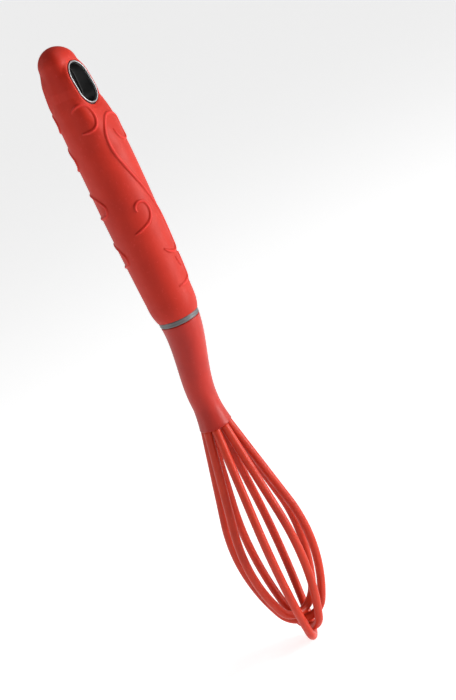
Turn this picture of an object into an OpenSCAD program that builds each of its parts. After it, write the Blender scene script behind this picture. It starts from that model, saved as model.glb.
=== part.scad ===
// Balloon whisk with a soft grip, a hanging hole and four silicone-covered wire loops.
// Units are mm. +Z runs along the whisk towards the hanging end, and the loops hang down.
// The origin is the centre of the hanging hole. -Y is the front, X is the width.

/* [Overall] */
// Length from the top of the grip to the lowest loop
total_length = 240; // [215:1:288]

/* [Grip] */
// Length of the soft grip, from its top to the collar ring
grip_length = 102; // [90:1:116]
// Diameter of the grip at its fullest
belly_diameter = 19.6; // [18:0.1:23]
// Width of the grip across the hanging hole
hang_end_width = 15.8; // [15:0.1:18.5]
// Thickness of the grip through the hanging hole
hang_end_depth = 13.6; // [13:0.1:15.5]
// How far the grip's hanging end leans back from the line of its foot
end_lean = 1.8; // [1.2:0.1:2.2]
// Diameter of the soft grip just above the collar ring
grip_foot_diameter = 17.6; // [16.4:0.1:20]
// Thickness of the grip's end where it meets the collar ring
grip_lip_diameter = 15.4; // [14.6:0.1:17]

/* [Collar ring] */
// Outside diameter of the grey collar ring
collar_diameter = 15; // [14.2:0.1:16.6]
// Height of the grey collar ring
collar_height = 2; // [1.4:0.1:3.2]

/* [Hanging hole] */
// Distance from the hole's centre to the top of the grip
hole_to_top = 14.6; // [13.6:0.1:18]
// Height of the open hole
hole_length = 14.2; // [11:0.1:15]
// Width of the open hole
hole_width = 9.6; // [7:0.1:10.4]
// Wall of the black hole liner
liner_wall = 0.55; // [0.4:0.05:0.7]
// Width of the bright trim ring
trim_width = 0.6; // [0.5:0.05:0.9]
// Thickness of the bright trim ring
trim_height = 0.7; // [0.4:0.05:1]
// Slope of the trim rings, which follow the taper of the grip
trim_tilt = 7; // [4:0.5:9]

/* [Neck] */
// Length of the smooth neck below the collar ring
neck_length = 42; // [37:0.5:50]
// Diameter at the top of the neck
neck_top_diameter = 14.8; // [14:0.1:16.4]
// Diameter of the neck at its narrowest
waist_diameter = 10.5; // [9.9:0.1:12.4]
// Diameter of the neck's flared mouth
mouth_diameter = 12.6; // [12.4:0.1:15]
// How far the head sits behind the grip's own line
set_back = 5; // [0:0.25:6]

/* [Wire head] */
// Outside diameter of the balloon at its widest
head_diameter = 32; // [29:0.5:40]
// Angle at which the strands leave the mouth
flare_angle = 12.5; // [11:0.25:14]
// How far round its tip each loop keeps its small end radius
tip_angle = 66; // [58:1:70]
// Outside diameter of a silicone-covered strand
strand_diameter = 3.2; // [2.6:0.1:3.3]
// Diameter of the spring-steel wire in a strand
wire_diameter = 1.5; // [1.1:0.1:1.6]
// Space left between stacked loops where they cross
crossing_gap = 0.3; // [0.15:0.05:0.8]

/* [Hidden] */
$fn = 96;
// How far the beads between lengths of wire stand out
bead = 0.02;
// Points around a lofted skin
around = 60;
// Loops are turned by half a step so that no strand lies on the X or Y axis
loop_count = 4;
loop_step = 180 / loop_count;
first_loop = loop_step / 2;

// Heights
z_top = hole_to_top;
z_grip_end = z_top - grip_length;
z_neck_top = z_grip_end - collar_height;
z_mouth = z_neck_top - neck_length;
z_tip = z_top - total_length;

// Radii
belly_r = belly_diameter / 2;
strand_r = strand_diameter / 2;
wire_r = wire_diameter / 2;
waist_r = waist_diameter / 2;

// Hanging hole pieces
hole_r = hole_width / 2;
hole_half = hole_length / 2 - hole_r;
liner_r = hole_r + liner_wall;
trim_inner_r = hole_r + 0.15;
trim_outer_r = trim_inner_r + trim_width;
flange_r = trim_outer_r + 0.3;
flange_height = 0.6;
// Where the middle of each liner flange stands, measured from the hole's middle plane
front_stand = hang_end_depth / 2 - end_lean - 1;
back_stand = hang_end_depth / 2 + end_lean - 2.1;

// Rigid core
core_r = 5;
core_eye_r = liner_r + 1.1;
core_eye_front = front_stand - 1.6;
core_eye_back = back_stand - 2.9;
core_top = -(hole_length / 2) - 3;
tenon_r = 4.2;
tenon_length = 8.6;
groove_r = 3.6;

// Strand ends, side by side in the mouth and closer together in the ferrule
// The mouth is never too small for the ring of strands that leaves it
close_ring_r = (strand_diameter + 0.15) / (2 * sin(loop_step / 2));
mouth_r = max(mouth_diameter / 2, close_ring_r + strand_r + 0.12);
mouth_ring_r = max(mouth_r - strand_r - 0.2, close_ring_r);

// Loops, numbered from the outermost
loop_r = head_diameter / 2 - strand_r;
tip_tan = tan(tip_angle / 2);
function loop_low(i) = z_tip + strand_r + i * (strand_diameter + crossing_gap);
function loop_height(i) = z_mouth - loop_low(i);
// The leaving angle follows the head's proportions, so that the sides stay rounded and the ends never come to a point
head_spread = loop_r - mouth_ring_r;
longest_side_r = loop_r * (1 - 0.27 * sin(tip_angle)) / (1 - sin(tip_angle));
short_leg = max(6, loop_height(loop_count - 1) - loop_r * (tip_tan + 0.96));
long_leg = max(6, loop_height(0) - tip_tan * loop_r - longest_side_r * (1 - tip_tan));
leave_angle = min(max(flare_angle, atan(head_spread / short_leg)), atan(head_spread / long_leg));

// Wire ends inside the neck
ferrule_ring_r = (wire_diameter + 0.38) / (2 * sin(loop_step / 2));
ferrule_bore_r = ferrule_ring_r + wire_r + 0.12;
ferrule_r = ferrule_bore_r + 0.4;
bend_r = 12;
seal_r = min(mouth_r - 0.6, mouth_ring_r + wire_r + 0.35);
bend_foot_r = ferrule_ring_r + bend_r * (1 - cos(leave_angle));
slope_rise = (mouth_ring_r - bend_foot_r) / tan(leave_angle);
z_bend_foot = z_mouth + slope_rise;
z_bend_top = z_bend_foot + bend_r * sin(leave_angle);
z_ferrule = z_bend_top + 0.2;
ferrule_length = 8.6;
ferrule_cap = 0.6;
z_wire_top = z_ferrule + ferrule_length - ferrule_cap - 0.6;

// Radii and centres of the loop's side and end arcs
function side_r(i) = (loop_height(i) - tip_tan * loop_r - (loop_r - mouth_ring_r) / tan(leave_angle))
  / (1 - tip_tan + tan(leave_angle / 2));
function end_r(i) = (loop_r - side_r(i) * (1 - sin(tip_angle))) / sin(tip_angle);
function side_x(i) = -(side_r(i) - end_r(i)) * sin(tip_angle);
function side_z(i) = loop_low(i) + end_r(i) + (side_r(i) - end_r(i)) * cos(tip_angle);
function leg_x(i) = side_x(i) + side_r(i) * cos(leave_angle);
function leg_z(i) = side_z(i) + side_r(i) * sin(leave_angle);
function leg_length(i) = (z_mouth - leg_z(i)) / cos(leave_angle);

// Smooth step from 0 to 1, and blends used by the skins
function clamp01(t) = min(1, max(0, t));
function ease(t) = 3 * pow(clamp01(t), 2) - 2 * pow(clamp01(t), 3);
function mix(a, b, t) = a + (b - a) * t;

// Middle line of the neck, which carries the head behind the grip
function neck_y(z) = set_back * ease((z_neck_top - z) / (z_neck_top - z_ferrule));

// Grip half-width, half-depth and corner fullness at a height
z_cap = hole_length / 2 + 1.3;
z_full = -24;
z_slim = z_grip_end + 7.4;
function foot_share(z) = pow(clamp01((-38 - z) / (-38 - z_slim)), 1.7);
function lip_drop(z) = pow(clamp01((z_slim - z) / (z_slim - z_grip_end)), 2.6);
function belly_at(z) = mix(belly_r, grip_foot_diameter / 2, foot_share(z))
  - (grip_foot_diameter - grip_lip_diameter) / 2 * lip_drop(z);
// Share of the way from the belly to the size at the hole's centre
function taper(z) = pow(clamp01((z - z_full) / (-3 - z_full)), 1.45);
function grip_a(z) = belly_at(z) - (belly_r - hang_end_width / 2) * taper(z) - 0.115 * max(0, z);
function grip_b(z) = belly_at(z) - (belly_r - hang_end_depth / 2) * taper(z) - 0.105 * max(0, z);
function fullness(z) = ease((z - z_full) / (-4 - z_full)) * (1 - 0.45 * ease(z / z_cap));
// The front of the hanging end is flatter than its back
function front_p(z) = 2 + 2.4 * fullness(z);
function back_p(z) = 2 + 0.5 * fullness(z);

// Middle line of the grip, which leans back towards its hanging end
function grip_y(z) = end_lean * pow(clamp01((z + 34) / 28), 2.3);

// One ring of points: half-width a, half-depth b, fullness of front and back, middle line y
function signed_pow(v, e) = sign(v) * pow(abs(v), e);
function ring(z, a, b, pf, pb, y) = [for (k = [0:around - 1])
  let (t = 360 * k / around, p = t > 180 ? pf : pb) [
  a * signed_pow(cos(t), 2 / p),
  y + b * signed_pow(sin(t), 2 / p),
  z]];

// Rings from the grip's foot up to the start of its domed end
grip_low = [for (k = [0:7]) z_grip_end + (z_slim - z_grip_end) * k / 8];
grip_mid = [for (k = [0:15]) z_slim + (z_full - z_slim) * k / 16];
grip_high = [for (k = [0:14]) z_full + (z_cap - z_full) * k / 14];
grip_heights = concat(grip_low, grip_mid, grip_high);
dome_steps = 8;
dome_height = z_top - z_cap;
function dome_z(k) = z_cap + dome_height * sin(90 * k / dome_steps);
function dome_share(k) = cos(90 * k / dome_steps);
function dome_p(from, k) = mix(from, 2, k / dome_steps);
grip_points = concat(
  [for (z = grip_heights) each ring(z, grip_a(z), grip_b(z), front_p(z), back_p(z), grip_y(z))],
  [for (k = [1:dome_steps - 1])
    each ring(dome_z(k), grip_a(z_cap) * dome_share(k), grip_b(z_cap) * dome_share(k),
      dome_p(front_p(z_cap), k), dome_p(back_p(z_cap), k), end_lean)],
  [[0, end_lean, z_top]]);
grip_rings = len(grip_heights) + dome_steps - 1;

// Rings down the neck
function neck_r(z) =
  z > z_waist
  ? mix(neck_top_diameter / 2, waist_r, 1 - pow(1 - clamp01((z_neck_top - z) / (z_neck_top - z_waist)), 1.45))
  : mix(waist_r, mouth_r, pow(clamp01((z_waist - z) / (z_waist - z_mouth)), 1.5));
z_waist = mix(z_neck_top, z_mouth, 0.8);
neck_steps = 30;
function neck_z(k) = z_mouth + (z_neck_top - z_mouth) * k / neck_steps;
neck_points = [for (k = [0:neck_steps]) each ring(neck_z(k), neck_r(neck_z(k)), neck_r(neck_z(k)), 2, 2, neck_y(neck_z(k)))];

// Faces of a stack of rings, closed by a flat foot and by a flat top or a point
function side_faces(rings) = [for (j = [0:rings - 2]) for (k = [0:around - 1]) for (half = [0, 1])
  half == 0
  ? [j * around + k, (j + 1) * around + k, (j + 1) * around + (k + 1) % around]
  : [j * around + k, (j + 1) * around + (k + 1) % around, j * around + (k + 1) % around]];
function foot_face() = [for (k = [0:around - 1]) k];
function top_face(rings) = [for (k = [0:around - 1]) (rings - 1) * around + around - 1 - k];
function point_faces(rings) = [for (k = [0:around - 1])
  [(rings - 1) * around + k, rings * around, (rings - 1) * around + (k + 1) % around]];

// Upright oval, as tall as the hole and as wide as its end circles
module oval(r) {
  translate([0, hole_half]) circle(r);
  translate([0, -hole_half]) circle(r);
  translate([-r, -hole_half]) square([2 * r, 2 * hole_half]);
}

// Oval plate or plug standing between two depths, front is negative
module oval_plug(r, y_from, y_to) {
  translate([0, y_to, 0])
    rotate([90, 0, 0])
      linear_extrude(height = y_to - y_from) oval(r);
}

// Sets its children on the sloping front or back face around the hole
module on_face(side) {
  rotate([0, 0, side == "front" ? 0 : 180])
    translate([0, side == "front" ? -front_stand : -back_stand, 0])
      rotate([-trim_tilt, 0, 0])
        children();
}

module core_shape() {
  translate([0, 0, z_grip_end]) cylinder(h = core_top - z_grip_end, r = core_r);
  translate([0, 0, z_neck_top]) cylinder(h = collar_height, r = core_r);
  difference() {
    translate([0, 0, z_neck_top - tenon_length]) cylinder(h = tenon_length, r = tenon_r);
    translate([0, 0, z_neck_top - tenon_length + 2.4])
      difference() {
        cylinder(h = 2, r = tenon_r + 1);
        translate([0, 0, -1]) cylinder(h = 4, r = groove_r);
      }
  }
  for (step = [0:2])
    translate([0, 0, mix(z_grip_end, core_top, 0.22 + 0.26 * step)]) cylinder(h = 1.6, r = core_r + 1.7);
  oval_plug(core_eye_r, -core_eye_front, core_eye_back);
  translate([-4.4, -core_eye_front, core_top - 2]) cube([8.8, core_eye_front + core_eye_back, 6]);
}

module liner_hole() {
  oval_plug(liner_r, -20, 20);
}

// Sunk seat that a liner flange and trim ring sit in
module face_seat(side) {
  on_face(side) oval_plug(flange_r, -4, 0);
}

module grip_sleeve() {
  color([0.78, 0.13, 0.12])
    difference() {
      polyhedron(points = grip_points,
        faces = concat([foot_face()], side_faces(grip_rings), point_faces(grip_rings)), convexity = 6);
      core_shape();
      liner_hole();
      face_seat("front");
      face_seat("back");
    }
}

module grip_core() {
  color([0.35, 0.35, 0.37])
    difference() {
      core_shape();
      liner_hole();
    }
}

module liner_half(side) {
  color([0.04, 0.04, 0.045])
    difference() {
      union() {
        intersection() {
          rotate([0, 0, side == "front" ? 0 : 180]) oval_plug(liner_r, -20, 0);
          on_face(side) translate([-30, -flange_height, -30]) cube([60, 40, 60]);
        }
        on_face(side) oval_plug(flange_r, -flange_height, 0);
      }
      oval_plug(hole_r, -20, 20);
    }
}

module hole_liner_front() {
  liner_half("front");
}

module hole_liner_back() {
  liner_half("back");
}

module trim_ring(side) {
  color([0.8, 0.81, 0.82])
    on_face(side)
      difference() {
        oval_plug(trim_outer_r, -flange_height - trim_height, -flange_height);
        oval_plug(trim_inner_r, -5, 5);
      }
}

module hole_trim_ring_front() {
  trim_ring("front");
}

module hole_trim_ring_back() {
  trim_ring("back");
}

module collar_ring() {
  color([0.45, 0.45, 0.47])
    translate([0, 0, z_neck_top])
      rotate_extrude()
        difference() {
          translate([core_r, 0]) square([collar_diameter / 2 - core_r, collar_height]);
          translate([collar_diameter / 2, 0]) rotate(45) square(0.4, center = true);
          translate([collar_diameter / 2, collar_height]) rotate(45) square(0.4, center = true);
        }
}

module seal_space() {
  translate([0, set_back, z_mouth])
    cylinder(h = z_ferrule - z_mouth, r1 = seal_r, r2 = ferrule_r);
}

module neck_sleeve() {
  color([0.72, 0.1, 0.1])
    difference() {
      polyhedron(points = neck_points,
        faces = concat([foot_face()], side_faces(neck_steps + 1), [top_face(neck_steps + 1)]), convexity = 4);
      core_shape();
      seal_space();
      translate([0, set_back, z_ferrule - 0.2]) cylinder(h = ferrule_length + 0.2, r = ferrule_r);
    }
}

// Tiny bead that ties two lengths of round bar into one solid where they meet
module tie(x, z, r) {
  translate([x, 0, z]) sphere(r + bead);
}

// One wire end, from just below the mouth up to its top inside the ferrule
module wire_leg_top() {
  translate([mouth_ring_r + 2 * sin(leave_angle), 0, z_mouth - 2 * cos(leave_angle)])
    rotate([0, -leave_angle, 0])
      cylinder(h = slope_rise / cos(leave_angle) + 2, r = wire_r);
  tie(bend_foot_r, z_bend_foot, wire_r);
  translate([ferrule_ring_r + bend_r, 0, z_bend_top])
    rotate([90, 0, 0])
      rotate([0, 0, 180])
        rotate_extrude(angle = leave_angle) translate([bend_r, 0]) circle(wire_r);
  tie(ferrule_ring_r, z_bend_top, wire_r);
  translate([ferrule_ring_r, 0, z_bend_top]) cylinder(h = z_wire_top - z_bend_top, r = wire_r);
}

module at_loop(i) {
  translate([0, set_back, 0]) rotate([0, 0, first_loop + i * loop_step]) children();
}

module wire_ends() {
  for (i = [0:loop_count - 1])
    for (turn = [0, 180])
      at_loop(i) rotate([0, 0, turn]) wire_leg_top();
}

module mouth_seal() {
  color([0.62, 0.09, 0.09])
    difference() {
      seal_space();
      wire_ends();
    }
}

module wire_ferrule() {
  color([0.7, 0.7, 0.7])
    translate([0, set_back, z_ferrule])
      difference() {
        cylinder(h = ferrule_length, r = ferrule_r);
        translate([0, 0, -1]) cylinder(h = ferrule_length - ferrule_cap + 1, r = ferrule_bore_r);
      }
}

module ferrule_resin() {
  color([0.75, 0.68, 0.5])
    difference() {
      translate([0, set_back, z_ferrule]) cylinder(h = ferrule_length - ferrule_cap, r = ferrule_bore_r);
      wire_ends();
    }
}

// The bent part of a loop below the mouth, in its own plane, as solid round bar
module loop_below(i, r, extra) {
  translate([0, 0, loop_low(i) + end_r(i)])
    rotate([90, 0, 0])
      rotate([0, 0, -90 - tip_angle])
        rotate_extrude(angle = 2 * tip_angle) translate([end_r(i), 0]) circle(r);
  for (turn = [0, 180])
    rotate([0, 0, turn]) {
      tie(end_r(i) * sin(tip_angle), loop_low(i) + end_r(i) * (1 - cos(tip_angle)), r);
      translate([side_x(i), 0, side_z(i)])
        rotate([90, 0, 0])
          rotate([0, 0, tip_angle - 90])
            rotate_extrude(angle = 90 - tip_angle + leave_angle) translate([side_r(i), 0]) circle(r);
      tie(leg_x(i), leg_z(i), r);
      translate([leg_x(i), 0, leg_z(i)])
        rotate([0, -leave_angle, 0])
          cylinder(h = leg_length(i) + extra, r = r);
    }
}

// A whole wire, with both ends running up into the ferrule
module wire_bar(i) {
  loop_below(i, wire_r, slope_rise / cos(leave_angle));
  for (turn = [0, 180])
    rotate([0, 0, turn]) {
      tie(bend_foot_r, z_bend_foot, wire_r);
      translate([ferrule_ring_r + bend_r, 0, z_bend_top])
        rotate([90, 0, 0])
          rotate([0, 0, 180])
            rotate_extrude(angle = leave_angle) translate([bend_r, 0]) circle(wire_r);
      tie(ferrule_ring_r, z_bend_top, wire_r);
      translate([ferrule_ring_r, 0, z_bend_top]) cylinder(h = z_wire_top - z_bend_top, r = wire_r);
    }
}

module wire_loop(i) {
  color([0.72, 0.73, 0.75])
    at_loop(i) wire_bar(i);
}

module strand_cover(i) {
  color([0.8, 0.16, 0.12])
    at_loop(i)
      difference() {
        loop_below(i, strand_r, 1);
        loop_below(i, wire_r, 3);
        translate([-20, -20, z_mouth]) cube([40, 40, 10]);
      }
}

module wire_loop_1() {
  wire_loop(0);
}

module wire_loop_2() {
  wire_loop(1);
}

module wire_loop_3() {
  wire_loop(2);
}

module wire_loop_4() {
  wire_loop(3);
}

module strand_cover_1() {
  strand_cover(0);
}

module strand_cover_2() {
  strand_cover(1);
}

module strand_cover_3() {
  strand_cover(2);
}

module strand_cover_4() {
  strand_cover(3);
}

grip_sleeve();
grip_core();
hole_liner_front();
hole_liner_back();
hole_trim_ring_front();
hole_trim_ring_back();
collar_ring();
neck_sleeve();
mouth_seal();
wire_ferrule();
ferrule_resin();
wire_loop_1();
wire_loop_2();
wire_loop_3();
wire_loop_4();
strand_cover_1();
strand_cover_2();
strand_cover_3();
strand_cover_4();
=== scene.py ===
"""Balloon whisk: the looks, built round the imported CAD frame. Lengths here are in mm until a mesh is made."""

import math

import bpy
import bmesh
import numpy as np
from mathutils import Matrix, Vector
from mathutils.kdtree import KDTree


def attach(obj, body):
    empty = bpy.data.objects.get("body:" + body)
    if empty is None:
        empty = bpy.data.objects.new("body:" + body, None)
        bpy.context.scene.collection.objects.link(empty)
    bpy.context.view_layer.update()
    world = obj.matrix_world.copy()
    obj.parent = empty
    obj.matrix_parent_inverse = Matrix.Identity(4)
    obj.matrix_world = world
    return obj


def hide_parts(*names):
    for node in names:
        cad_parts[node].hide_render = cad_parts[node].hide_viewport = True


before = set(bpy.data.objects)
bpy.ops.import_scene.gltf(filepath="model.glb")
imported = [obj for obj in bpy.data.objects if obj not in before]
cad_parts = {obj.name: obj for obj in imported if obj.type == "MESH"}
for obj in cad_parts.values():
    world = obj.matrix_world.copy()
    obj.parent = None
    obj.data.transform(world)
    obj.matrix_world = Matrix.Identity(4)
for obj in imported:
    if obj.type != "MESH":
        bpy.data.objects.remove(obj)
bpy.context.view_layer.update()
RNG = np.random.default_rng(11)

# ---------------------------------------------------------------- sizes in mm, as in the part's source
Z_TOP, GRIP_LENGTH, COLLAR_H, NECK_LENGTH, TOTAL = 14.6, 102.0, 2.0, 42.0, 240.0
BELLY_R, FOOT_R, LIP_R = 9.8, 8.8, 7.7
HANG_W, HANG_D, END_LEAN = 15.8, 13.6, 1.8
HOLE_R, HOLE_HALF = 4.8, 2.3
COLLAR_R, NECK_TOP_R, WAIST_R, MOUTH_R = 7.5, 7.4, 5.25, 6.3
SET_BACK, TILT = 5.0, math.radians(7)
HEAD_R, FLARE, TIP = 16.0, math.radians(12.5), math.radians(66)
STRAND_R, WIRE_R, GAP = 1.6, 0.75, 0.3
LINER_R = HOLE_R + 0.55
TRIM_IN, TRIM_OUT = HOLE_R + 0.15, HOLE_R + 0.75
FLANGE_R, FLANGE_H, TRIM_H = TRIM_OUT + 0.3, 0.6, 0.7
STAND = {"front": HANG_D / 2 - END_LEAN - 1, "back": HANG_D / 2 + END_LEAN - 2.1}

Z_END = Z_TOP - GRIP_LENGTH
Z_NECK = Z_END - COLLAR_H
Z_MOUTH = Z_NECK - NECK_LENGTH
Z_TIP = Z_TOP - TOTAL
Z_CAP, Z_FULL, Z_BELLY, Z_SLIM = HOLE_HALF + HOLE_R + 1.3, -24.0, -38, Z_END + 7.4
SIDE_SLOPE, DEPTH_SLOPE = 0.115, 0.105
HALF_STEP = math.radians(22.5)
BEND_R = 12
WAIST_SHARE = 0.8
MOUTH_RING = max(MOUTH_R - STRAND_R - 0.2, (2 * STRAND_R + 0.15) / (2 * math.sin(HALF_STEP)))
FERRULE_RING = (2 * WIRE_R + 0.38) / (2 * math.sin(HALF_STEP))
SLOPE_RISE = (MOUTH_RING - FERRULE_RING - BEND_R * (1 - math.cos(FLARE))) / math.tan(FLARE)
Z_FERRULE = Z_MOUTH + SLOPE_RISE + BEND_R * math.sin(FLARE) + 0.2


def clamp(t):
    """Held between 0 and 1."""
    return np.clip(t, 0.0, 1.0)


def ease(t):
    """A smooth step from 0 to 1."""
    t = clamp(t)
    return t * t * (3 - 2 * t)


def mix(a, b, t):
    """The value a share t of the way from a to b."""
    return a + (b - a) * t


def belly(z):
    """Radius of the round grip: full at the belly, slimmer to the foot and turned in at its lip."""
    foot = clamp((Z_BELLY - z) / (Z_BELLY - Z_SLIM)) ** 1.7
    lip = clamp((Z_SLIM - z) / (Z_SLIM - Z_END)) ** 2.6
    return mix(BELLY_R, FOOT_R, foot) - (FOOT_R - LIP_R) * lip


def taper(z):
    """How far the round grip has turned into the flat hanging end, 0 to 1."""
    return clamp((z - Z_FULL) / (-3 - Z_FULL)) ** 1.45


def grip_a(z):
    """Half the grip's width."""
    return belly(z) - (BELLY_R - HANG_W / 2) * taper(z) - SIDE_SLOPE * np.maximum(0, z)


def grip_b(z):
    """Half the grip's depth."""
    return belly(z) - (BELLY_R - HANG_D / 2) * taper(z) - DEPTH_SLOPE * np.maximum(0, z)


def grip_p(z, angle):
    """Fullness of the section: the front of the hanging end is flatter than its back."""
    full = ease((z - Z_FULL) / (-4 - Z_FULL)) * (1 - 0.45 * ease(z / Z_CAP))
    return np.where(np.sin(angle) < 0, 2 + 2.4 * full, 2 + 0.5 * full)


def grip_y(z):
    """How far the grip's middle leans back."""
    return END_LEAN * clamp((z + 34) / 28) ** 2.3


def signed_pow(v, e):
    """A power that keeps the sign."""
    return np.sign(v) * np.abs(v) ** e


def grip_point(angle, z):
    """Grip surface at a drawing angle (radians, -90 degrees is the front) and height, both arrays."""
    rise = clamp((z - Z_CAP) / (Z_TOP - Z_CAP))
    share = np.sqrt(np.maximum(0, 1 - rise * rise))
    zb = np.minimum(z, Z_CAP)
    p = mix(grip_p(zb, angle), 2.0, np.arcsin(rise) / (math.pi / 2))
    x = grip_a(zb) * share * signed_pow(np.cos(angle), 2 / p)
    y = grip_y(zb) + grip_b(zb) * share * signed_pow(np.sin(angle), 2 / p)
    return np.stack([x, y, z], -1)


def neck_y(z):
    """How far the neck's middle is set back."""
    return SET_BACK * ease((Z_NECK - z) / (Z_NECK - Z_FERRULE))


def neck_r(z):
    """Radius of the neck, in to the waist and out again to the mouth."""
    z_waist = mix(Z_NECK, Z_MOUTH, WAIST_SHARE)
    above = mix(NECK_TOP_R, WAIST_R, 1 - (1 - clamp((Z_NECK - z) / (Z_NECK - z_waist))) ** 1.45)
    below = mix(WAIST_R, MOUTH_R, clamp((z_waist - z) / (z_waist - Z_MOUTH)) ** 1.5)
    return np.where(z > z_waist, above, below)


# ---------------------------------------------------------------- mesh helpers
def new_mesh(name, verts, faces):
    """A mesh object from points in mm."""
    mesh = bpy.data.meshes.new(name)
    mesh.from_pydata((np.asarray(verts, float) / 1000).tolist(), [], faces)
    mesh.validate()
    mesh.update()
    bm = bmesh.new()
    bm.from_mesh(mesh)
    bmesh.ops.recalc_face_normals(bm, faces=bm.faces)
    bm.to_mesh(mesh)
    bm.free()
    obj = bpy.data.objects.new(name, mesh)
    bpy.context.scene.collection.objects.link(obj)
    for polygon in mesh.polygons:
        polygon.use_smooth = True
    return obj


def grid_faces(rows, around, closed_rows=False):
    """Quads of a stack of rings. closed_rows joins the last ring to the first, as on a torus."""
    faces = []
    last = rows if closed_rows else rows - 1
    for j in range(last):
        a, b = j * around, ((j + 1) % rows) * around
        for k in range(around):
            n = (k + 1) % around
            faces.append((a + k, a + n, b + n, b + k))
    return faces


def ring_stack(name, rings, cap_first=None, cap_last=None):
    """A skin through rings of points. Each end is left open, closed "flat" or closed at a given point."""
    rows, around = len(rings), len(rings[0])
    verts = np.concatenate(rings)
    faces = grid_faces(rows, around)
    extra = []
    for cap, row in ((cap_first, 0), (cap_last, rows - 1)):
        if cap == "flat":
            faces.append(tuple(range(row * around, row * around + around)))
        elif cap is not None:
            middle = len(verts) + len(extra)
            extra.append(cap)
            for k in range(around):
                faces.append((row * around + k, row * around + (k + 1) % around, middle))
    if extra:
        verts = np.concatenate([verts, np.array(extra, float)])
    return new_mesh(name, verts, faces)


def circle(r, z, around, y=0.0):
    t = np.linspace(0, 2 * math.pi, around, endpoint=False)
    return np.stack([r * np.cos(t), y + r * np.sin(t), np.full(around, z)], -1)


ARC_STEPS, SIDE_STEPS = 72, 16
OVAL_POINTS = 2 * (ARC_STEPS + SIDE_STEPS)


def oval(r):
    """Upright oval outline in (x, z). Every oval has its points at the same places round it."""
    turn = np.linspace(0, math.pi, ARC_STEPS, endpoint=False)
    side = np.linspace(HOLE_HALF, -HOLE_HALF, SIDE_STEPS, endpoint=False)
    top = np.stack([r * np.cos(turn), HOLE_HALF + r * np.sin(turn)], -1)
    left = np.stack([np.full(SIDE_STEPS, -r), side], -1)
    return np.concatenate([top, left, -top, -left])


def oval_distance(x, z):
    """Distance from the hole's upright middle line, which is r everywhere on an oval of radius r."""
    return np.hypot(x, np.maximum(0, np.abs(z) - HOLE_HALF))


def on_face(side, points):
    """Points drawn on a level face (x, depth outwards, z) set on the sloping front or back of the grip."""
    x, out, z = points[:, 0], points[:, 1], points[:, 2]
    c, s = math.cos(TILT), math.sin(TILT)
    y = -(STAND[side] + out * c) + z * s
    zz = z * c + out * s
    if side == "back":
        return np.stack([-x, -y, zz], -1)
    return np.stack([x, y, zz], -1)


def face_y(side, z):
    """Depth of a liner flange's seat from the hole's middle plane at a height."""
    return STAND[side] - z * math.tan(TILT)


# ---------------------------------------------------------------- materials
NOISE_ROUGHNESS = 0.55


def material(name, build):
    m = bpy.data.materials.new(name)
    m.use_nodes = True
    tree = m.node_tree
    tree.nodes.clear()
    out = tree.nodes.new("ShaderNodeOutputMaterial")
    bsdf = tree.nodes.new("ShaderNodeBsdfPrincipled")
    tree.links.new(bsdf.outputs["BSDF"], out.inputs["Surface"])
    build(tree, bsdf)
    return m


def noise(tree, scale, detail, stretch=None):
    coord = tree.nodes.new("ShaderNodeTexCoord")
    node = tree.nodes.new("ShaderNodeTexNoise")
    node.inputs["Scale"].default_value = scale
    node.inputs["Detail"].default_value = detail
    node.inputs["Roughness"].default_value = NOISE_ROUGHNESS
    if stretch:
        mapping = tree.nodes.new("ShaderNodeMapping")
        mapping.inputs["Scale"].default_value = stretch
        tree.links.new(coord.outputs["Object"], mapping.inputs["Vector"])
        tree.links.new(mapping.outputs["Vector"], node.inputs["Vector"])
    else:
        tree.links.new(coord.outputs["Object"], node.inputs["Vector"])
    return node.outputs["Fac"]


def remap(tree, value, low, high, to_low, to_high):
    node = tree.nodes.new("ShaderNodeMapRange")
    for key, v in (("From Min", low), ("From Max", high), ("To Min", to_low), ("To Max", to_high)):
        node.inputs[key].default_value = v
    tree.links.new(value, node.inputs["Value"])
    return node.outputs["Result"]


def blend_colour(tree, factor, a, b):
    node = tree.nodes.new("ShaderNodeMix")
    node.data_type = "RGBA"
    tree.links.new(factor, node.inputs["Factor"])
    for socket, colour in (("A", a), ("B", b)):
        target = [i for i in node.inputs if i.name == socket and i.type == "RGBA"][0]
        if isinstance(colour, tuple):
            target.default_value = (*colour, 1.0)
        else:
            tree.links.new(colour, target)
    return [o for o in node.outputs if o.type == "RGBA"][0]


def bump(tree, height, strength, distance, normal=None):
    node = tree.nodes.new("ShaderNodeBump")
    node.inputs["Strength"].default_value = strength
    node.inputs["Distance"].default_value = distance
    tree.links.new(height, node.inputs["Height"])
    if normal is not None:
        tree.links.new(normal, node.inputs["Normal"])
    return node.outputs["Normal"]


def attribute(tree, name):
    node = tree.nodes.new("ShaderNodeAttribute")
    node.attribute_name = name
    return node.outputs["Fac"]


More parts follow.
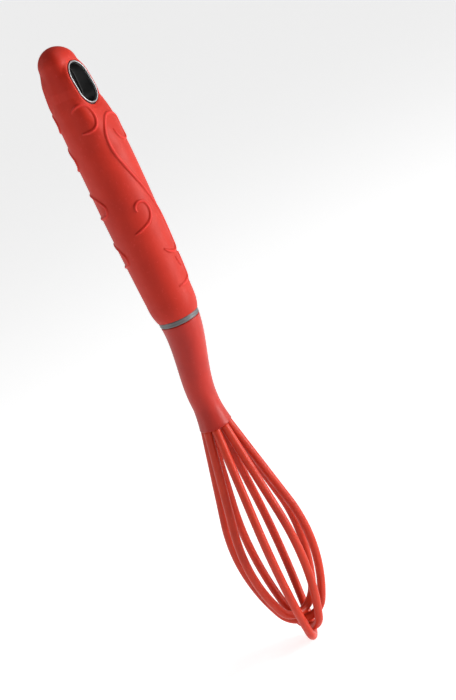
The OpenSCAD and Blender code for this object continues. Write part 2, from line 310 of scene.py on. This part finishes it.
def build_grip(tree, bsdf):
    cloud = remap(tree, noise(tree, 55, 5), 0.3, 0.7, 0, 1)
    colour = blend_colour(tree, cloud, (0.42, 0.0150, 0.0050), (0.51, 0.0215, 0.0075))
    speck = remap(tree, noise(tree, 900, 2), 0.62, 0.74, 0, 0.35)
    colour = blend_colour(tree, speck, colour, (0.62, 0.045, 0.035))
    ridge = remap(tree, attribute(tree, "ridge"), 0.25, 1.0, 0, 0.55)
    colour = blend_colour(tree, ridge, colour, (0.66, 0.030, 0.024))
    tree.links.new(colour, bsdf.inputs["Base Color"])
    rough = remap(tree, noise(tree, 140, 5), 0.3, 0.7, 0.46, 0.58)
    tree.links.new(rough, bsdf.inputs["Roughness"])
    bsdf.inputs["Specular IOR Level"].default_value = 0.22
    bsdf.inputs["Sheen Weight"].default_value = 0.02
    bsdf.inputs["Sheen Roughness"].default_value = 0.45
    bsdf.inputs["Subsurface Weight"].default_value = 0.06
    bsdf.inputs["Subsurface Radius"].default_value = (0.8, 0.15, 0.1)
    bsdf.inputs["Subsurface Scale"].default_value = 0.0015
    grain = bump(tree, noise(tree, 3200, 2), 0.22, 0.00008)
    grain = bump(tree, noise(tree, 260, 3), 0.12, 0.0002, grain)
    tree.links.new(grain, bsdf.inputs["Normal"])


def silicone(dark, light, rough_low, rough_high, coat=0.0):
    def build(tree, bsdf):
        cloud = remap(tree, noise(tree, 70, 4), 0.3, 0.7, 0, 1)
        colour = blend_colour(tree, cloud, dark, light)
        dust = remap(tree, noise(tree, 1400, 2), 0.66, 0.78, 0, 0.25)
        colour = blend_colour(tree, dust, colour, tuple(min(1, c + 0.1) for c in light))
        tree.links.new(colour, bsdf.inputs["Base Color"])
        rough = remap(tree, noise(tree, 190, 4), 0.3, 0.7, rough_low, rough_high)
        tree.links.new(rough, bsdf.inputs["Roughness"])
        bsdf.inputs["Specular IOR Level"].default_value = 0.26
        bsdf.inputs["Coat Weight"].default_value = coat
        bsdf.inputs["Coat Roughness"].default_value = 0.28
        bsdf.inputs["Subsurface Weight"].default_value = 0.1
        bsdf.inputs["Subsurface Radius"].default_value = (1.0, 0.2, 0.12)
        bsdf.inputs["Subsurface Scale"].default_value = 0.0012
        grain = bump(tree, noise(tree, 420, 3), 0.10, 0.00015)
        tree.links.new(grain, bsdf.inputs["Normal"])
    return build


def metal(colour, rough_low, rough_high, stretch):
    def build(tree, bsdf):
        cloud = remap(tree, noise(tree, 120, 3), 0.3, 0.7, 0, 1)
        tint = blend_colour(tree, cloud, colour, tuple(c * 0.86 for c in colour))
        tree.links.new(tint, bsdf.inputs["Base Color"])
        bsdf.inputs["Metallic"].default_value = 1.0
        brushed = noise(tree, 700, 4, stretch=stretch)
        tree.links.new(remap(tree, brushed, 0.3, 0.7, rough_low, rough_high), bsdf.inputs["Roughness"])
        tree.links.new(bump(tree, brushed, 0.08, 0.00004), bsdf.inputs["Normal"])
    return build


def plastic(dark, light, rough_low, rough_high):
    def build(tree, bsdf):
        cloud = remap(tree, noise(tree, 160, 4), 0.3, 0.7, 0, 1)
        tree.links.new(blend_colour(tree, cloud, dark, light), bsdf.inputs["Base Color"])
        rough = remap(tree, noise(tree, 300, 4), 0.3, 0.7, rough_low, rough_high)
        tree.links.new(rough, bsdf.inputs["Roughness"])
        tree.links.new(bump(tree, noise(tree, 2200, 2), 0.15, 0.00006), bsdf.inputs["Normal"])
    return build


NECK = silicone((0.37, 0.0120, 0.0055), (0.46, 0.0180, 0.0080), 0.36, 0.46, 0.10)
SEAL = silicone((0.30, 0.007, 0.006), (0.38, 0.011, 0.009), 0.42, 0.55)
STRAND = silicone((0.48, 0.0230, 0.0060), (0.58, 0.0340, 0.0090), 0.36, 0.48, 0.05)
# near black for the hole's lining; its flange rim, a thin dark line round the trim ring, is painted shade for
# the shadow gap there
LINER = plastic((0.003, 0.003, 0.003), (0.008, 0.008, 0.0075), 0.34, 0.46)
COLLAR = plastic((0.085, 0.083, 0.085), (0.125, 0.123, 0.125), 0.34, 0.46)
CORE = plastic((0.16, 0.16, 0.17), (0.22, 0.22, 0.23), 0.45, 0.6)
RESIN = plastic((0.50, 0.36, 0.16), (0.62, 0.46, 0.22), 0.25, 0.4)

MAT = {
    "grip": material("soft_grip_red", build_grip),
    "neck": material("neck_silicone_red", NECK),
    "seal": material("seal_silicone_red", SEAL),
    "strand": material("strand_silicone_red", STRAND),
    "trim": material("trim_bright_metal", metal((0.34, 0.345, 0.35), 0.36, 0.46, (1, 1, 1))),
    "wire": material("wire_drawn_steel", metal((0.60, 0.60, 0.62), 0.22, 0.38, (1, 1, 0.05))),
    "ferrule": material("ferrule_steel", metal((0.55, 0.55, 0.56), 0.3, 0.45, (1, 1, 0.1))),
    # near-black lining, whose flange rim round the trim ring is painted shade for the gap there
    "liner": material("liner_near_black_painted_gap_shade", LINER),
    "collar": material("collar_grey_plastic", COLLAR),
    "core": material("core_grey_plastic", CORE),
    "resin": material("ferrule_resin", RESIN),
}


def dress(obj, key):
    obj.data.materials.clear()
    obj.data.materials.append(MAT[key])
    return obj


def place(obj, key, slot, *nodes):
    """Finishes a new piece: its material, the body it rides on and the CAD nodes it stands for. The slot is not
    used.
    """
    dress(obj, key)
    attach(obj, "root")
    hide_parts(*nodes)
    return obj


# ---------------------------------------------------------------- scroll ridges on the grip
# A scroll is a chain of arcs drawn on the grip laid out flat. It starts at an angle round the grip in
# degrees, where -90 is the front, -180 the left side and 0 the right, and at a drop below the hole's centre
# in mm. It sets off along a heading in degrees, 0 to the right and 90 up. Each arc is its length in mm and
# its turn in degrees, to the left when positive. A ridge's reach is half its width, and it thins over a
# taper at each end.
RIDGE_REACH, RIDGE_HEIGHT, RIDGE_TAPER = 0.62, 0.47, 2.4

HOOK = [(4, -45), (4, -75), (5, -40), (4, -60), (3, -15)]
TENDRIL = [(8, 110), (8, 100), (9, 85), (9, 65), (8, 25), (10, 7), (14, 0), (13, -25), (4, -80), (5, -40),
           (2, -20)]
CURL = [(3, -90), (4, -90), (8, -95), (6, -15)]
LOOP = [(10, -50), (5, -110), (8, -30)]

SCROLLS = [
    # what shows from the front left, from under the hole down to the foot
    (-163, 7.5, 45, HOOK),
    (-97, 18, -100, TENDRIL),
    (-134, 46.5, 120, CURL),
    (-90, 67, -80, [(4, 20)]),
    (-64, 66.5, -85, [(7, -10), (4, -75), (6, -10)]),
    (-274, 4, 0, LOOP),
    (-272, 18, 0, LOOP),
    (-247, 36, 0, LOOP),
    (-258, 55, 0, LOOP),
    # the same growth carried on round the right and the back
    (-38, 8, 45, HOOK),
    (10, 28, -100, TENDRIL),
    (-15, 57, 120, CURL),
    (24, 9, 45, HOOK),
    (72, 31, 120, CURL),
    (50, 45, 0, LOOP),
    (50, 68, 45, HOOK),
]


def scroll_line(start_angle, drop, heading, arcs, step=0.12):
    """The chain of arcs, stepped finely, as rows of degrees round the grip and height in mm."""
    spot = np.array([math.radians(start_angle) * BELLY_R, -drop])
    bearing, out = math.radians(heading), []
    for length, turn in arcs:
        count = max(4, int(length / step))
        for _ in range(count):
            bearing += math.radians(turn) / count
            spot = spot + length / count * np.array([math.cos(bearing), math.sin(bearing)])
            out.append((math.degrees(spot[0] / BELLY_R), spot[1]))
    return np.array(out)


def drawing_angle(true_angle, z):
    """The angle to draw with so that a point lies at a true angle round the grip's own section."""
    a, b, p = grip_a(z), grip_b(z), grip_p(z, true_angle)
    c, s = np.cos(true_angle) / a, np.sin(true_angle) / b
    scale = (np.abs(c) ** p + np.abs(s) ** p) ** (-1 / p)
    u, v = c * scale, s * scale
    return np.arctan2(signed_pow(v, p / 2), signed_pow(u, p / 2))


def ridge_heights(points):
    """Height of the ridges at each grip point, and a 0 to 1 share for the paint."""
    samples = []
    for scroll in SCROLLS:
        line = scroll_line(*scroll)
        true_angle, z = np.radians(line[:, 0]), line[:, 1]
        on = grip_point(drawing_angle(true_angle, z), z)
        along = np.concatenate([[0], np.cumsum(np.linalg.norm(np.diff(on, axis=0), axis=1))])
        end = np.minimum(along, along[-1] - along)
        samples.extend(zip(on, 0.55 + 0.45 * ease(end / RIDGE_TAPER)))
    tree = KDTree(len(samples))
    for i, (q, _) in enumerate(samples):
        tree.insert(q, i)
    tree.balance()
    height, share = np.zeros(len(points)), np.zeros(len(points))
    for i, q in enumerate(points):
        _, j, d = tree.find(q)
        swell = samples[j][1]
        reach = RIDGE_REACH * swell
        if d < reach:
            f = math.cos(math.pi / 2 * (d / reach) ** 1.25)
            height[i], share[i] = RIDGE_HEIGHT * (0.7 + 0.3 * swell) * f, f
    return height, share


def grip_rows():
    """Heights of the grip's rings, closer together where it turns over."""
    straight = np.linspace(Z_END, Z_CAP, GRIP_ROWS)
    dome = Z_CAP + (Z_TOP - Z_CAP) * np.sin(np.linspace(0, math.pi / 2, DOME_ROWS)[1:-1])
    return np.concatenate([straight, dome])


GRIP_AROUND, GRIP_ROWS, DOME_ROWS = 320, 520, 34
PAD_REACH = {"front": 1.7, "back": 2.0}
PAD_RISE, LIP_DROP, LIP_REACH, PAD_FADE = 1.14, 0.22, 0.45, 1.6


def make_grip():
    """The grip's skin: its own section, a soft pad round the hole, the raised scrolls and the hole itself."""
    around = GRIP_AROUND
    rows = grip_rows()
    angle = np.linspace(0, 2 * math.pi, around, endpoint=False)
    aa, zz = np.meshgrid(angle, rows)
    # even steps round the section, so that the flatter front and back are as fine as the sides
    draw = drawing_angle(aa.ravel(), np.minimum(zz.ravel(), Z_CAP)).reshape(aa.shape)
    points = grip_point(draw, zz)
    # soft pad round the hole, front and back, which brings the skin up or down to the trim ring
    radius = oval_distance(points[..., 0], points[..., 2])
    lip = -LIP_DROP * (1 - ease((radius - FLANGE_R) / LIP_REACH))
    for side, sign in (("front", -1), ("back", 1)):
        pad = 1 - ease((radius - FLANGE_R) / PAD_REACH[side])
        out = sign * points[..., 1]
        middle = sign * grip_y(points[..., 2])
        weight = pad * ease((out - middle - PAD_FADE) / PAD_FADE)
        level = face_y(side, points[..., 2]) + PAD_RISE + lip
        points[..., 1] = sign * mix(out, level, weight)
    # outward direction by finite differences
    du = np.roll(points, -1, 1) - np.roll(points, 1, 1)
    dv = np.gradient(points, axis=0)
    normal = np.cross(du, dv)
    normal /= np.maximum(np.linalg.norm(normal, axis=-1, keepdims=True), 1e-9)
    flat = points.reshape(-1, 3)
    height, share = ridge_heights(flat)
    flat = flat + normal.reshape(-1, 3) * height[:, None]
    # one point closes the top of the dome and one closes the foot
    verts = np.concatenate([flat, [[0, END_LEAN, Z_TOP], [0, 0, Z_END]]])
    faces = grid_faces(len(rows), around)
    top, foot = len(flat), len(flat) + 1
    last = (len(rows) - 1) * around
    for k in range(around):
        faces.append((last + k, last + (k + 1) % around, top))
        faces.append(((k + 1) % around, k, foot))
    grip = new_mesh("grip_sleeve_skin", verts, faces)
    store = grip.data.attributes.new("ridge", "FLOAT", "POINT")
    store.data.foreach_set("value", np.concatenate([share, [0, 0]]).astype(np.float32))
    cut_hole(grip)
    return place(grip, "grip", "soft_grip", "grip_sleeve")


def cut_hole(obj):
    """Opens the oval hole right through the grip, a hair narrower than the liner's flange."""
    outline = oval(FLANGE_R - 0.02)
    beyond = 20.0
    front = np.stack([outline[:, 0], np.full(len(outline), -beyond), outline[:, 1]], -1)
    back = front.copy()
    back[:, 1] = beyond
    cutter = ring_stack("cutter", [front, back], "flat", "flat")
    boolean = obj.modifiers.new("hole", "BOOLEAN")
    boolean.operation, boolean.solver, boolean.object = "DIFFERENCE", "EXACT", cutter
    apply_modifiers(obj)
    bpy.data.objects.remove(cutter)


def apply_modifiers(obj):
    """Puts the modifiers' result in the object's own mesh."""
    bpy.context.view_layer.update()
    graph = bpy.context.evaluated_depsgraph_get()
    mesh = bpy.data.meshes.new_from_object(obj.evaluated_get(graph))
    obj.modifiers.clear()
    obj.data = mesh
    for polygon in mesh.polygons:
        polygon.use_smooth = True


# ---------------------------------------------------------------- hole lining and trim
def make_liner(side, node):
    """Half the lining: a flange on the sloping face, a rounded lip and the oval tube down to the middle. Its
    near-black flange rim round the trim ring is painted shade for the shadow gap there.
    """
    around = OVAL_POINTS
    drawn = []
    flange = ((FLANGE_R, -0.02), (FLANGE_R, 0.42), (FLANGE_R - 0.06, 0.54), (FLANGE_R - 0.18, FLANGE_H),
              (TRIM_IN + 0.1, FLANGE_H), (TRIM_IN - 0.02, FLANGE_H - 0.01),
              (HOLE_R + 0.05, FLANGE_H - 0.05), (HOLE_R + 0.01, FLANGE_H - 0.14), (HOLE_R, FLANGE_H - 0.3))
    for r, out in flange:
        o = oval(r)
        drawn.append(on_face(side, np.stack([o[:, 0], np.full(around, out), o[:, 1]], -1)))
    inner, outer = oval(HOLE_R), oval(LINER_R)
    sign = -1 if side == "front" else 1
    if side == "back":
        inner, outer = inner * [-1, 1], outer * [-1, 1]
    depth = face_y(side, inner[:, 1]) + FLANGE_H - 0.5
    for share in np.linspace(0.92, 0.02, 12):
        drawn.append(np.stack([inner[:, 0], sign * depth * share, inner[:, 1]], -1))
    # a fine groove where the two halves meet in the middle of the hole
    groove = 0.12
    middle = np.full(around, 0.02 * sign)
    wide, tall = inner[:, 0] * (1 + groove / HOLE_R), inner[:, 1] * (1 + groove / 7)
    drawn.append(np.stack([wide, middle, tall], -1))
    drawn.append(np.stack([outer[:, 0], middle, outer[:, 1]], -1))
    drawn.append(np.stack([outer[:, 0], sign * (face_y(side, outer[:, 1]) - 0.02), outer[:, 1]], -1))
    rows = len(drawn)
    obj = new_mesh("hole_liner_" + side + "_skin", np.concatenate(drawn), grid_faces(rows, around, True))
    return place(obj, "liner", "liner_plastic", node)


def make_trim(side, node):
    """Bright oval ring with a rounded, slightly domed section."""
    around, section = OVAL_POINTS, 24
    middle, half = (TRIM_IN + TRIM_OUT) / 2, (TRIM_OUT - TRIM_IN) / 2
    rings = []
    for k in range(section):
        t = 2 * math.pi * k / section
        r = middle + half * float(signed_pow(math.cos(t), 0.75))
        out = FLANGE_H + TRIM_H / 2 + TRIM_H / 2 * float(signed_pow(math.sin(t), 0.75))
        o = oval(r)
        rings.append(on_face(side, np.stack([o[:, 0], np.full(around, out), o[:, 1]], -1)))
    faces = grid_faces(section, around, True)
    obj = new_mesh("hole_trim_ring_" + side + "_skin", np.concatenate(rings), faces)
    return place(obj, "trim", "trim_metal", node)


# ---------------------------------------------------------------- collar, neck and seal
def make_collar():
    around = 160
    profile = [(5.05, Z_NECK + 0.02), (COLLAR_R - 0.34, Z_NECK + 0.02), (COLLAR_R - 0.14, Z_NECK + 0.09),
               (COLLAR_R - 0.03, Z_NECK + 0.24), (COLLAR_R, Z_NECK + 0.42), (COLLAR_R, Z_NECK + 0.9),
               (COLLAR_R - 0.05, Z_NECK + 1.0), (COLLAR_R, Z_NECK + 1.1),
               (COLLAR_R, Z_END - 0.42), (COLLAR_R - 0.03, Z_END - 0.24), (COLLAR_R - 0.14, Z_END - 0.09),
               (COLLAR_R - 0.34, Z_END - 0.02), (5.05, Z_END - 0.02)]
    rings = [circle(r, z, around) for r, z in profile]
    obj = new_mesh("collar_ring_skin", np.concatenate(rings), grid_faces(len(rings), around, True))
    return place(obj, "collar", "collar_plastic", "collar_ring")


def make_neck():
    around = 144
    rings = [circle(4.6, Z_NECK - 0.01, around), circle(NECK_TOP_R - 0.5, Z_NECK - 0.01, around)]
    for t in np.linspace(0.15, 1, 6):
        a = t * math.pi / 2
        z = Z_NECK - 0.5 * (1 - math.cos(a))
        rings.append(circle(NECK_TOP_R - 0.5 + 0.5 * math.sin(a) - 0.02, z, around, float(neck_y(z))))
    for z in np.linspace(Z_NECK - 0.8, Z_MOUTH + 0.55, 150):
        rings.append(circle(float(neck_r(z)), z, around, float(neck_y(z))))
    for t in np.linspace(0.1, 1, 8):
        a = t * math.pi / 2
        r, z = MOUTH_R - 0.45 * (1 - math.cos(a)), Z_MOUTH + 0.45 - 0.45 * math.sin(a)
        rings.append(circle(r, z, around, SET_BACK))
    rings.append(circle(5.5, Z_MOUTH + 0.02, around, SET_BACK))
    rings.append(circle(5.45, Z_MOUTH + 0.9, around, SET_BACK))
    obj = ring_stack("neck_sleeve_skin", rings, "flat", "flat")
    return place(obj, "neck", "neck_silicone", "neck_sleeve")


SEAL_R = 5.5


def strand_spots():
    """Where the eight strand ends pass through the mouth."""
    angles = [HALF_STEP + i * 2 * HALF_STEP for i in range(8)]
    return [(MOUTH_RING * math.cos(a), MOUTH_RING * math.sin(a)) for a in angles]


def make_seal():
    """Soft plug across the mouth, drawn down in a small fillet round each strand."""
    around, rows = 192, 46
    spots = np.array(strand_spots())
    rings = []
    for r in np.linspace(SEAL_R, 0.12, rows):
        ring = circle(r, Z_MOUTH, around)
        d = np.linalg.norm(ring[:, None, :2] - spots[None], axis=2) - STRAND_R
        fillet = np.exp(-np.maximum(d, 0) / 0.38).max(1)
        edge = math.exp(-(SEAL_R - r) / 0.5)
        ring[:, 2] = Z_MOUTH - 0.12 - 0.75 * fillet * (1 - edge) + 0.1 * edge
        ring[:, 1] += SET_BACK
        rings.append(ring)
    back = circle(SEAL_R - 0.1, Z_MOUTH + 1.2, around, SET_BACK)
    obj = ring_stack("mouth_seal_skin", [back] + rings, "flat", "flat")
    return place(obj, "seal", "seal_silicone", "mouth_seal")


# ---------------------------------------------------------------- loops
def loop_line(i):
    """Centre line of a loop below the mouth, in its own upright plane, from one mouth spot to the other."""
    low = Z_TIP + STRAND_R + i * (2 * STRAND_R + GAP)
    tip_tan = math.tan(TIP / 2)
    reach = HEAD_R - STRAND_R
    room = Z_MOUTH - low - tip_tan * reach - (reach - MOUTH_RING) / math.tan(FLARE)
    side = room / (1 - tip_tan + math.tan(FLARE / 2))
    end = (reach - side * (1 - math.sin(TIP))) / math.sin(TIP)
    cx, cz = -(side - end) * math.sin(TIP), low + end + (side - end) * math.cos(TIP)
    half = []
    for a in np.linspace(0, TIP, 26, endpoint=False):
        half.append((end * math.sin(a), low + end * (1 - math.cos(a))))
    for a in np.linspace(TIP - math.pi / 2, FLARE, 60, endpoint=False):
        half.append((cx + side * math.cos(a), cz + side * math.sin(a)))
    lx, lz = cx + side * math.cos(FLARE), cz + side * math.sin(FLARE)
    for t in np.linspace(0, 1, 22):
        half.append((mix(lx, MOUTH_RING, t), mix(lz, Z_MOUTH, t)))
    right = np.array(half)
    left = right[:0:-1] * [-1, 1]
    return np.concatenate([left, right])


def make_strand(i):
    """Silicone cover of one loop: a round sleeve whose thickness wanders very slightly along it."""
    around = 28
    line = loop_line(i)
    # even steps along the line
    along = np.concatenate([[0], np.cumsum(np.hypot(*np.diff(line, axis=0).T))])
    steps = np.arange(0, along[-1], 0.7)
    steps = np.append(steps, along[-1])
    line = np.stack([np.interp(steps, along, line[:, 0]), np.interp(steps, along, line[:, 1])], -1)
    tangent = np.gradient(line, axis=0)
    tangent /= np.linalg.norm(tangent, axis=1, keepdims=True)
    turn = HALF_STEP + i * 2 * HALF_STEP
    c, s = math.cos(turn), math.sin(turn)
    rings = []
    phase = RNG.uniform(0, 6.28, 3)
    for (x, z), (tx, tz), d in zip(line, tangent, steps):
        r = STRAND_R * (1 + 0.006 * math.sin(d / 7 + phase[0]) + 0.004 * math.sin(d / 2.9 + phase[1]))
        t = np.linspace(0, 2 * math.pi, around, endpoint=False)
        nx, nz = tz, -tx
        px = x + r * np.cos(t) * nx
        pz = z + r * np.cos(t) * nz
        py = r * np.sin(t)
        pz = np.minimum(pz, Z_MOUTH + 0.05)
        rings.append(np.stack([px * c - py * s, SET_BACK + px * s + py * c, pz], -1))
    obj = ring_stack("strand_cover_%d_skin" % (i + 1), rings, "flat", "flat")
    return place(obj, "strand", "strand_silicone", "strand_cover_%d" % (i + 1))


make_grip()
make_liner("front", "hole_liner_front")
make_liner("back", "hole_liner_back")
make_trim("front", "hole_trim_ring_front")
make_trim("back", "hole_trim_ring_back")
make_collar()
make_neck()
make_seal()
for index in range(4):
    make_strand(index)

KEPT = {"grip_core": "core", "wire_ferrule": "ferrule", "ferrule_resin": "resin",
        "wire_loop_1": "wire", "wire_loop_2": "wire", "wire_loop_3": "wire", "wire_loop_4": "wire"}
for node_name, key in KEPT.items():
    dress(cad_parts[node_name], key)

# ---------------------------------------------------------------- camera, floor and light
AZIMUTH, ELEVATION, ROLL = math.radians(57.5), math.radians(15.9), math.radians(-25.0)
DISTANCE, LENS = 0.53, 116.9
MIDDLE = Vector((0, 0.002, -0.1057))
AIM_RIGHT, AIM_UP = 0.0122, 0.0039

toward = Vector((-math.sin(AZIMUTH) * math.cos(ELEVATION), -math.cos(AZIMUTH) * math.cos(ELEVATION),
                 math.sin(ELEVATION)))
level = (-toward).cross(Vector((0, 0, 1))).normalized()
above = level.cross(-toward)
RIGHT = level * math.cos(ROLL) + above * math.sin(ROLL)
UP = -level * math.sin(ROLL) + above * math.cos(ROLL)


def look(position, target, up_hint):
    """Rotation of a camera or lamp at a position that looks at a target."""
    ahead = (target - position).normalized()
    right = ahead.cross(up_hint).normalized()
    up = right.cross(ahead)
    return Matrix((right, up, -ahead)).transposed().to_4x4()


camera_data = bpy.data.cameras.new("camera")
camera_data.sensor_fit = "HORIZONTAL"
camera_data.sensor_width = 36
camera_data.lens = LENS
camera_data.clip_start, camera_data.clip_end = 0.01, 50
camera = bpy.data.objects.new("camera", camera_data)
bpy.context.scene.collection.objects.link(camera)
camera_spot = MIDDLE + toward * DISTANCE
aim = MIDDLE + RIGHT * AIM_RIGHT + UP * AIM_UP
camera.matrix_world = Matrix.Translation(camera_spot) @ look(camera_spot, aim, UP)
bpy.context.scene.camera = camera

FLOOR_Z = Z_TIP - 0.3
FLOOR_FLAT, FLOOR_EDGE, FLOOR_RISE = 1500, 8000, 1500
sweep = []
for radius in [700] + list(np.linspace(FLOOR_FLAT, FLOOR_EDGE, 40)):
    rise = FLOOR_RISE * float(ease((radius - FLOOR_FLAT) / (FLOOR_EDGE - FLOOR_FLAT)))
    sweep.append(circle(radius, FLOOR_Z + rise, 96))
floor = ring_stack("floor", sweep, (0, 0, FLOOR_Z))


def build_floor(tree, bsdf):
    tint = remap(tree, noise(tree, 3, 3), 0.3, 0.7, 0, 1)
    pale = blend_colour(tree, tint, (0.88, 0.88, 0.88), (0.90, 0.90, 0.90))
    tree.links.new(pale, bsdf.inputs["Base Color"])
    bsdf.inputs["Roughness"].default_value = 0.75
    bsdf.inputs["Specular IOR Level"].default_value = 0.2
    bsdf.inputs["Emission Color"].default_value = (1, 1, 1, 1)
    bsdf.inputs["Emission Strength"].default_value = 0.70


floor.data.materials.append(material("floor_pale", build_floor))


def lamp(name, right, up, near, width, height, radiance, lean=0.0):
    """Soft box whose place is in metres right of, above and towards the camera from the whisk's middle.

    Its long side lies along the picture's up direction, turned by lean degrees."""
    data = bpy.data.lights.new(name, "AREA")
    data.shape, data.size, data.size_y = "RECTANGLE", width, height
    data.energy = radiance * math.pi * width * height
    obj = bpy.data.objects.new(name, data)
    bpy.context.scene.collection.objects.link(obj)
    spot = MIDDLE + RIGHT * right + UP * up + toward * near
    tall = UP * math.cos(math.radians(lean)) - RIGHT * math.sin(math.radians(lean))
    obj.matrix_world = Matrix.Translation(spot) @ look(spot, MIDDLE, tall)
    return obj


lamp("key_right", 0.60, 0.12, 0.15, 0.26, 0.9, 12.0, 24)
lamp("fill_left", -0.60, 0.0, 0.0, 0.22, 0.9, 1.7, 24)
lamp("top_soft", 0.2, 0.75, 0.15, 0.4, 0.4, 2.5)
world = bpy.data.worlds.new("studio")
world.use_nodes = True
world.node_tree.nodes["Background"].inputs["Color"].default_value = (1, 1, 1, 1)
world.node_tree.nodes["Background"].inputs["Strength"].default_value = 0.12
bpy.context.scene.world = world
bpy.context.scene.view_settings.view_transform = "Standard"
